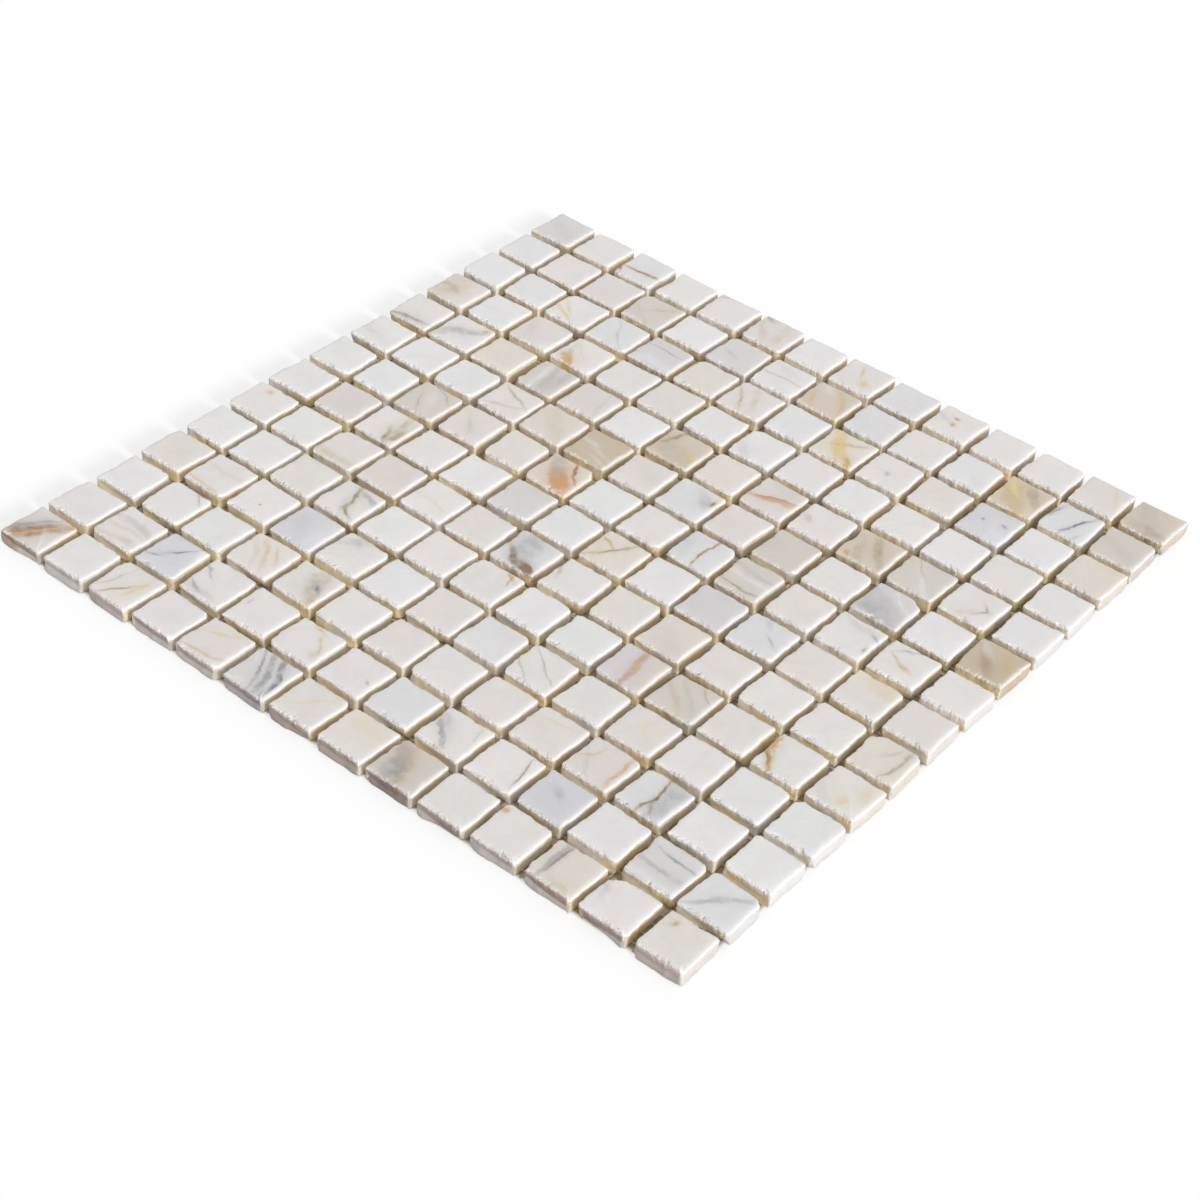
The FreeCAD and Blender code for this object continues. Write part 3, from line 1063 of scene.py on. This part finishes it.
@dataclass
class ChipRow:
    """One row of split chips along X, which stands for its CAD node.

    A chip is a stack of rings. Counted from its foot, crease_ring lies just under the crease of
    its sides, the worn edge begins at rim_ring, and face_ring and all after it lie on its face.
    The tuples edge_worn, which sets the painted highlight along the worn edge, and edge_bruise go
    up from rim_ring, and edge_raw from the ring after it.
    A wave is its knots round the outline and its size, and coarse_crumbs adds a lift to each.
    Spreads are the least and the greatest value, in crease_shade_spreads of a pair for the stone under
    and over the crease, which paint the flat under it lighter and the overhang over it darker as
    painted light and shade. Lengths are in metres.
    """

    number: int
    marble: bpy.types.Material
    outline: Outline
    crease_ring: int = 3
    rim_ring: int = 6
    face_ring: int = 11
    fine_crumbs: Wave = (240, 0.35)
    coarse_crumbs: tuple[Triple, ...] = ((110, 0.8, 0.1), (64, 0.7, 0.0), (40, 1.2, -0.5))
    drop_waves: Wave = (20, 0.3)
    drop_crumb: Pair = (0.6, 0.25)
    setback_waves: Wave = (16, 0.25)
    crease_start: Pair = (0.2, 0.65)
    crease_slope: Pair = (-0.3, 0.5)
    crease_belly: Pair = (-0.05, 0.25)
    crease_limits: Pair = (0.06, 0.92)
    crease_reach: float = 1.2
    crease_easing: int = 2
    crease_room: Pair = (0.7 * MM, 0.4 * MM)
    crease_step: float = 0.3 * MM
    crease_half: float = 0.12 * MM
    foot_steps: Pair = (0.3 * MM, 1.2 * MM)
    rim_step: float = 0.15 * MM
    lean_spread: Pair = (0.7, 1.25)
    corner_easing: int = 14
    corner_power: int = 3
    edge_softness: float = 0.35
    side_waves: tuple[Wave, ...] = ((12, 0.5), (26, 0.4), (60, 0.2))
    ring_waves: Wave = (54, 0.25)
    foot_tuck: tuple[float, ...] = (0.15 * MM, 0.03 * MM, 0.0)
    corner_tuck: tuple[float, ...] = (1.3 * MM, 0.7 * MM, 0.15 * MM)
    roll_power: int = 10
    front_spread: float = 0.7 * MM
    edge_turns: tuple[float, ...] = (0.22, 0.45, 0.7, 1.0)
    edge_jag: Pair = (0.35, 0.3)
    face_insets: Pair = (0.4 * MM, 1.2 * MM)
    face_scar: float = 0.3
    scar_power: int = 4
    shoulder: float = 0.05 * MM
    crease_shade_spreads: tuple[Pair, Pair] = ((0.1, -0.1), (0.8, 0.35))
    rim_raw: float = 0.2
    edge_raw: tuple[float, ...] = (0.8, 0.6, 0.4, 0.15)
    edge_worn: tuple[float, ...] = (0.9, 1.0, 1.0, 1.0, 0.8, 0.3, 0.0)
    edge_bruise: tuple[float, ...] = (0.4, 0.9, 1.0, 1.0, 1.0, 0.35, 0.0)
    least_bruise: float = 0.35
    tint_spreads: Pair = (0.02, 0.005)

    def __post_init__(self) -> None:
        """Reads the row's flats and starts its own random numbers."""
        self.node = f"chip_row_{self.number + 1:02d}"
        middle = (CHIPS_PER_ROW - 1) / 2
        along = (np.arange(CHIPS_PER_ROW) - middle) * PITCH
        across = np.full_like(along, (self.number - middle) * PITCH)
        self.flats = Flats.of_row(self.node, np.stack([along, across], -1))
        self.draw = np.random.default_rng((SEED, self.number))

    def curves(self, waves: int) -> np.ndarray:
        """Smooth random curves round the outline, one for each chip."""
        return self.outline.wander(self.draw, CHIPS_PER_ROW, waves)

    def varied(self, measure: str, wave: Wave) -> np.ndarray:
        """One measure of the sides at each point, varied by a wave of its own on each chip."""
        knots, size = wave
        return self.outline.by_side(measure) * (1 + size * self.curves(knots))

    def within(self) -> np.ndarray:
        """Which sides face a joint.

        Returns:
            1 where a side does and 0 where it faces out of the sheet, chips x 4.
        """
        within = np.ones((CHIPS_PER_ROW, 4))
        within[-1, 0] = within[0, 2] = 0
        if self.number == CHIPS_PER_ROW - 1:
            within[:, 1] = 0
        if self.number == 0:
            within[:, 3] = 0
        return within

    def off_front(self) -> np.ndarray:
        """1 round the outline, falling to 0 at the corner between the sides +X and -Y."""
        away = np.minimum(self.outline.place, 1 - self.outline.place) * 4 * PITCH
        return 1 - np.exp(-(away / self.front_spread) ** 2)

    def top_edge(self) -> TopEdge:
        """Draws how the top edges are worn, with fine crumbs all along and coarser ones in places.

        Returns:
            The edges.
        """
        knots, size = self.fine_crumbs
        crumb = size * np.abs(self.curves(knots))
        for coarse_knots, share, lift in self.coarse_crumbs:
            crumb = crumb + share * np.clip(self.curves(coarse_knots) + lift, 0, 1)
        jag = self.outline.by_side("jag")
        drop = self.varied("drop", self.drop_waves)
        coarse, fine = self.drop_crumb
        drop = drop + jag * (coarse * crumb + fine * np.abs(self.curves(knots)))
        setback = self.varied("setback", self.setback_waves) + jag * crumb
        return TopEdge(crumb, jag, drop, setback, self.flats.levels[-1] - drop)

    def creases(self) -> np.ndarray:
        """Draws a slanting line across each side, where each way meets the side's plane.

        With t as the way's place on the side, the line's share of the height is
        start - slope t - belly (1 - t^2).
        Returns:
            Heights, chips x 4 x around.
        """
        foot, _, edge, _ = self.flats.levels
        turns = np.arange(4)[:, None] * np.pi / 2
        place = np.tan(self.outline.angle - turns)
        place = np.clip(place, -self.crease_reach, self.crease_reach)
        start, slope, belly = (self.draw.uniform(*spread, (CHIPS_PER_ROW, 4, 1)) for spread in
                               (self.crease_start, self.crease_slope, self.crease_belly))
        share = start - slope * place - belly * (1 - place ** 2)
        return foot + (edge - foot) * np.clip(share, *self.crease_limits)

    def recess(self, creases: np.ndarray, heights: np.ndarray) -> np.ndarray:
        """Draws how far each side is cut back at each height.

        Above the crease it is inset + over (edge - z), and below it falls again by
        flare (crease - z), but not under the inset.
        Args:
            creases: The creases' heights, chips x 4 x around.
            heights: The rings' heights, chips x rings x around.
        Returns:
            Depths, chips x 4 x rings x around.
        """
        edge = self.flats.levels[2]
        vary = self.draw.uniform(*self.lean_spread, (2, len(creases), 4, 1, 1))
        inset, over, flare = (self.outline.measure(name)[:, None, None]
                              for name in ("inset", "over", "flare"))
        line, z = creases[:, :, None], heights[:, None]
        above = over * vary[0] * (edge - np.maximum(z, line))
        below = flare * vary[1] * np.maximum(line - z, 0)
        return inset + np.clip(above - below, 0, None)

    def split_sides(self, rim: np.ndarray) -> tuple[np.ndarray, np.ndarray]:
        """Draws the sides from the foot to the rim: creased flats with soft corners and waves.

        Args:
            rim: The rim's heights, chips x around.
        Returns:
            Distances and heights, chips x rings x around.
        """
        line = self.outline
        foot, _, edge, _ = self.flats.levels
        creases = self.creases()
        own = np.take_along_axis(creases, line.side[None, None], 1)[:, 0]
        room_under, room_over = self.crease_room
        own = np.clip(line.eased(own, self.crease_easing), foot + room_under, rim - room_over)
        low = np.full_like(own, foot)
        first, second = self.foot_steps
        heights = np.stack([low, low + first, np.minimum(low + second, own - self.crease_step),
                            own - self.crease_half, own + self.crease_half,
                            rim - self.rim_step, rim], 1)
        cut = self.recess(creases, heights)
        sides = self.flats.reach(line.ways, np.minimum(heights, edge), cut)
        # Five values are drawn for the four corners. The fifth is spare.
        corners = self.draw.uniform(0, 1, (CHIPS_PER_ROW, 5))
        softness = np.take(corners, (line.side + (line.along > 0)) % 4, -1)
        softness = (softness * np.abs(line.along) ** self.corner_power)[:, None]
        share = np.linspace(1, self.edge_softness, heights.shape[1])[:, None]
        sides += (line.eased(sides, self.corner_easing) - sides) * softness * share
        broad = sum(size * self.curves(knots) for knots, size in self.side_waves)
        knots, size = self.ring_waves
        fine = line.wander(self.draw, heights.shape[0] * heights.shape[1], knots)
        wave = line.by_side("wave")
        sides = sides + wave * broad[:, None] - size * wave * np.abs(fine.reshape(heights.shape))
        rolled = np.abs(line.along) ** self.roll_power * line.by_side("roll")
        sides[:, :self.crease_ring] -= np.array(self.foot_tuck)[:, None]
        rolled = np.array(self.corner_tuck)[:, None] * rolled * self.off_front()
        sides[:, :self.crease_ring] -= rolled
        return sides, heights

    def surface(self) -> tuple[np.ndarray, np.ndarray, dict[str, np.ndarray]]:
        """Draws each chip's surface as a distance and a height for each ring and each way.

        Above the rim the edge is a quarter turn a: setback (1 - cos a) inwards and drop sin a
        up, roughened by shares of jag. The rim is as rough as the ring after it.
        Returns:
            Distances and heights, chips x rings x around, and the wear that the marble reads.
        """
        edge = self.top_edge()
        sides, heights = self.split_sides(edge.rim)
        turn = np.array(self.edge_turns)[:, None] * np.pi / 2
        rough = edge.jag * self.draw.random((2, len(sides), len(turn), self.outline.count)) ** 2
        inwards, down = self.edge_jag
        sides[:, -1] -= inwards * rough[0, :, 0]
        heights[:, -1] -= inwards * rough[1, :, 0]
        edges = sides[:, -1:] - edge.setback[:, None] * (1 - np.cos(turn)) - inwards * rough[0]
        edge_heights = edge.rim[:, None] + edge.drop[:, None] * np.sin(turn) - down * rough[1]
        edge_heights -= self.shoulder * np.sin(turn)
        insets = np.array(self.face_insets)[:, None]
        fall = self.shoulder * (1 - insets / insets[-1]) ** 2
        scar = self.face_scar * self.draw.random(edge.rim.shape) ** self.scar_power
        scar = edge.jag * np.stack([scar, np.zeros_like(scar)], 1)
        reach = np.concatenate([sides, edges, edges[:, -1:] - insets], 1)
        height = np.concatenate([heights, edge_heights, self.flats.levels[-1] - fall - scar], 1)
        return reach, height, self.wear(height, edge)

    def wear(self, height: np.ndarray, edge: TopEdge) -> dict[str, np.ndarray]:
        """Draws what the marble reads of the wear and of its painted light and shade, as arrays of
        chips x rings x around.

        Args:
            height: The surface's heights.
            edge: How its top edges are worn.
        Returns:
            raw, bruise and worn as shares, raw with painted light under each crease and painted shade
            over it, bruise setting the painted shade of the crumbs and worn the painted highlight of
            the edge; front near the corner between +X and -Y, as a painted highlight; below as the
            depth under the rim; and inside where a side faces a joint.
        """
        line, rim, after_crease = self.outline, self.rim_ring, self.crease_ring + 1
        blunt = line.by_side("blunt")
        raw = np.ones_like(height) * line.by_side("raw")
        # Painted light and shade: the tint is lifted on the flat under each crease and kept on the
        # overhang over it.
        patches = self.draw.uniform(*self.crease_shade_spreads, (CHIPS_PER_ROW, 4, 2))[:, line.side]
        raw[:, :after_crease] *= 1 - blunt * patches[:, None, :, 0]
        raw[:, after_crease:rim + 1] *= 1 - blunt * patches[:, None, :, 1]
        raw[:, rim] *= self.rim_raw + (1 - self.rim_raw) * blunt
        raw[:, rim + 1:self.face_ring] = np.array(self.edge_raw)[:, None] * blunt
        raw[:, self.face_ring:] = 0
        worn, bruise = np.zeros_like(height), np.zeros_like(height)
        # Painted highlight along the worn edge, full on +X, which faces the lamp.
        worn[:, rim:] = np.array(self.edge_worn)[:, None] * line.by_side("worn")
        depth = line.by_side("bruise") * (self.least_bruise + edge.crumb)
        bruise[:, rim:] = np.array(self.edge_bruise)[:, None] * depth[:, None]
        return {"raw": raw, "bruise": bruise, "worn": worn,
                "corner_highlight": np.ones_like(height) - self.off_front(),
                "below": np.clip(edge.rim[:, None] - height, 0, None),
                "inside": np.ones_like(height) * self.within()[:, None, line.side]}

    def smooth(self, chips: int, rings: int) -> np.ndarray:
        """Which faces are smooth shaded: all but the crease and the crumbs of the rawest edge.

        Args:
            chips: How many chips there are.
            rings: Rings of each.
        Returns:
            True for a smooth face, in the order of stacks_of_rings.
        """
        smooth = np.ones((chips, rings - 1, self.outline.count), bool)
        smooth[:, self.crease_ring] = False
        smooth[:, self.rim_ring:self.face_ring, self.outline.side == 3] = False
        return np.concatenate([smooth.ravel(), np.zeros(2 * chips, bool)])

    def stone_attributes(self, points: np.ndarray) -> dict[str, np.ndarray]:
        """Draws what the marble reads of the stone.

        A streak's along and across are plain turns and scalings of the place on the face, so they
        stay true over large faces.
        Args:
            points: The surface, chips x rings x around x 3.
        Returns:
            The ground colour, the stone's own place, and the streaks and their tones.
        """
        shape = points.shape[:3]
        local = (points[..., :2] - self.flats.centres[:, None, None]) / (PITCH / 2)
        right, up = local[..., 1], -local[..., 0]
        out = {"ground": np.ones((*shape, 4)), "stone_place": np.empty((*shape, 3))}
        for number in range(Marble.streaks):
            out[f"streak_{number}"] = np.zeros((*shape, 3))
            out[f"streak_{number}_tone"] = np.zeros((*shape, 4))
        grey, hue = self.tint_spreads
        for chip in range(shape[0]):
            own = PlainStone().draw_look(self.draw)
            shift = self.draw.uniform(-1, 1, 3)
            tint = 1 + self.draw.uniform(-grey, grey) + self.draw.uniform(-hue, hue, 3)
            own = STANDOUT.get((chip, self.number), own)
            out["ground"][chip, ..., :3] = np.array(own.stone.value) * tint
            out["stone_place"][chip] = points[chip] + shift
            for number, vein in enumerate(own.streaks):
                angle = math.radians(vein.heading)
                du, dv = right[chip] - vein.right, up[chip] - vein.up
                along = (du * math.cos(angle) + dv * math.sin(angle)) / vein.length
                across = (dv * math.cos(angle) - du * math.sin(angle)) / vein.width
                per_width = np.full_like(along, 1 / vein.width)
                out[f"streak_{number}"][chip] = np.stack([along, across, per_width], -1)
                out[f"streak_{number}_tone"][chip] = (*vein.tone.value, vein.strength)
        return out

    def build(self) -> bpy.types.Object:
        """Builds the row and puts it in its node's place.

        Returns:
            The row's mesh object.
        """
        reach, height, wear = self.surface()
        plan = reach[..., None] * self.outline.ways + self.flats.centres[:, None, None]
        points = np.concatenate([plan, height[..., None]], -1)
        points = np.clip(points, np.array(cad_box[0]), np.array(cad_box[1]))
        chips, rings, around = reach.shape
        piece = mesh_object(f"split_chips_{self.number + 1:02d}", points,
                            stacks_of_rings(chips, rings, around),
                            {**wear, **self.stone_attributes(points)}, self.marble,
                            self.smooth(chips, rings))
        dress(piece, "marble", self.node)
        return piece


@dataclass
class StrandLayer:
    """One layer of the net: parallel flat strands, which stand for a CAD node."""

    node: str
    axis: int
    coating: bpy.types.Material
    stations: int = 31
    section: int = 8
    squareness: float = 0.55
    sway: float = 0.12 * MM
    slimness: Pair = (0.8, 1.0)

    def build(self) -> bpy.types.Object:
        """Builds every strand as one tube with a squarish section that sways a little.

        The section is (|cos|^q, |sin|^q) with the signs of cos and sin, q being the squareness.
        Returns:
            The layer's mesh object.
        """
        corners = cad_vertices(self.node)
        edges = np.unique(corners[:, 1 - self.axis].round(6)).reshape(-1, 2)
        low, high = corners.min(0), corners.max(0)
        draw = np.random.default_rng((SEED, 100 + self.axis))
        turn = np.arange(self.section) / self.section * 2 * np.pi
        across, rise = (np.sign(wave) * np.abs(wave) ** self.squareness
                        for wave in (np.cos(turn), np.sin(turn)))
        shape = (len(edges), self.stations, self.section)
        sway = draw.uniform(-1, 1, shape[:2]) * self.sway
        width = np.diff(edges, axis=1) / 2 * draw.uniform(*self.slimness, shape[:2])
        along = np.linspace(low[self.axis], high[self.axis], self.stations)
        middle = edges.mean(1)[:, None] + sway
        points = np.empty((*shape, 3))
        points[..., self.axis] = along[:, None]
        points[..., 1 - self.axis] = middle[..., None] + width[..., None] * across
        points[..., 2] = (low[2] + high[2]) / 2 + rise * (high[2] - low[2]) / 2
        piece = mesh_object(f"{self.node}_coated", points,
                            stacks_of_rings(*shape, turned=self.axis == 0),
                            {"across": np.broadcast_to(across, shape)}, self.coating)
        dress(piece, "net", self.node)
        return piece


@dataclass
class GlueDrops:
    """Flat, lumpy drops of set glue on the net where the joints cross.

    floor is in metres, and stray and radii are in millimetres.
    """

    floor: float
    resin: bpy.types.Material
    share: float = 0.9
    rings: int = 6
    around: int = 10
    stray: float = 0.5
    radii: Pair = (1.1, 1.7)
    lumpiness: float = 0.2
    flatness: float = 0.3
    foot_lean: float = 0.02

    def build(self) -> bpy.types.Object:
        """Builds the drops: a ring at lean a reaches r cos(a - foot lean) and is flatness r sin a high.

        Returns:
            One mesh with all of them.
        """
        draw = np.random.default_rng((SEED, 200))
        steps = np.arange(1, CHIPS_PER_ROW) - CHIPS_PER_ROW / 2
        crossings = np.stack(np.meshgrid(steps, steps, indexing="ij"), -1).reshape(-1, 2)
        crossings = crossings[draw.random(len(crossings)) < self.share] * PITCH
        count = len(crossings)
        middle = crossings + draw.uniform(-self.stray, self.stray, (count, 2)) * MM
        size = draw.uniform(*self.radii, (count, 1, 1)) * MM
        lean = np.linspace(self.foot_lean, np.pi / 2, self.rings)[:, None]
        turn = np.arange(self.around) / self.around * 2 * np.pi
        lump = 1 + self.lumpiness * draw.uniform(-1, 1, (count, 1, self.around))
        reach = size * np.sin(np.pi / 2 - lean + self.foot_lean) * lump
        height = self.floor + size * np.sin(lean) * self.flatness
        points = np.stack([middle[:, 0, None, None] + reach * np.cos(turn),
                           middle[:, 1, None, None] + reach * np.sin(turn),
                           np.broadcast_to(height, reach.shape)], -1)
        piece = mesh_object("glue_drops", points,
                            stacks_of_rings(count, self.rings, self.around), {}, self.resin)
        dress(piece, "net")
        return piece


@dataclass(frozen=True)
class Studio:
    """Floor, sky, lamp and camera. Lengths are in metres, angles in degrees."""

    floor_half: float = 5.0
    key_strength: float = 2.45
    key_height: float = 22.0
    key_bearing: float = -10.0
    key_spread: float = 15.0
    sky_strength: float = 0.62
    eye: Triple = (0.43073, -0.58814, 0.57135)
    aim: Triple = (0.02384, -0.03498, 0.0063)
    roll: float = 5.004
    lens: float = 76.789
    sight: Pair = (0.01, 50.0)

    def lay_floor(self) -> None:
        """A wide plane under the object."""
        side = self.floor_half
        corners = np.array([(-side, -side, 0), (side, -side, 0), (side, side, 0), (-side, side, 0)])
        floor = mesh_object("floor", corners, [(0, 1, 2, 3)], {}, PaleFloor().material())

    def light_sky(self) -> None:
        """Even light from all round, which looks white itself."""
        world = bpy.data.worlds.new("sky")
        bpy.context.scene.world = world
        world.use_nodes = True
        shader = Shader(world.node_tree)
        strength = self.sky_strength + shader.seen() * (1.0 - self.sky_strength)
        light = shader.node("Background", {}, {"Strength": strength,
                                               "Color": (1.0, 1.0, 1.0, 1.0)})
        shader.node("OutputWorld", {}, {"Surface": light})

    def hang_lamp(self) -> None:
        """The key light, far off, low beyond the +X side."""
        lamp = bpy.data.lights.new("key", "SUN")
        lamp.energy = self.key_strength
        lamp.angle = math.radians(self.key_spread)
        holder = bpy.data.objects.new("key", lamp)
        height, bearing = math.radians(self.key_height), math.radians(self.key_bearing)
        towards = Vector((math.cos(height) * math.cos(bearing),
                          math.cos(height) * math.sin(bearing), math.sin(height)))
        holder.matrix_world = towards.to_track_quat("Z", "Y").to_matrix().to_4x4()
        holder.location = towards
        bpy.context.scene.collection.objects.link(holder)

    def place_camera(self) -> None:
        """The camera, turned about its own axis by the roll."""
        data = bpy.data.cameras.new("camera")
        data.lens = self.lens
        data.clip_start, data.clip_end = self.sight
        camera = bpy.data.objects.new("camera", data)
        eye = Vector(self.eye)
        back = (eye - Vector(self.aim)).normalized()
        right = Vector((0, 0, 1)).cross(back).normalized()
        level = Matrix((right, back.cross(right), back)).transposed()
        turned = level @ Matrix.Rotation(math.radians(self.roll), 3, "Z")
        camera.matrix_world = Matrix.Translation(eye) @ turned.to_4x4()
        bpy.context.scene.collection.objects.link(camera)
        bpy.context.scene.camera = camera

    def build(self) -> None:
        """Sets up everything round the object."""
        self.lay_floor()
        self.light_sky()
        self.hang_lamp()
        self.place_camera()
        bpy.context.scene.view_settings.view_transform = "Standard"


def main() -> None:
    """Builds the studio, the chips, the net and the glue."""
    logging.basicConfig(level=logging.INFO, format="%(name)s: %(message)s")
    Studio().build()
    marble = Marble().material()
    outline = Outline(SIDES)
    for number in range(CHIPS_PER_ROW):
        ChipRow(number, marble, outline).build()
    coating = CoatedGlass().material()
    StrandLayer("net_warp_strands", 0, coating).build()
    StrandLayer("net_weft_strands", 1, coating).build()
    net_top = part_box("net_warp_strands")[1].z
    GlueDrops(net_top, Resin().material()).build()


if __name__ == "__main__":
    main()
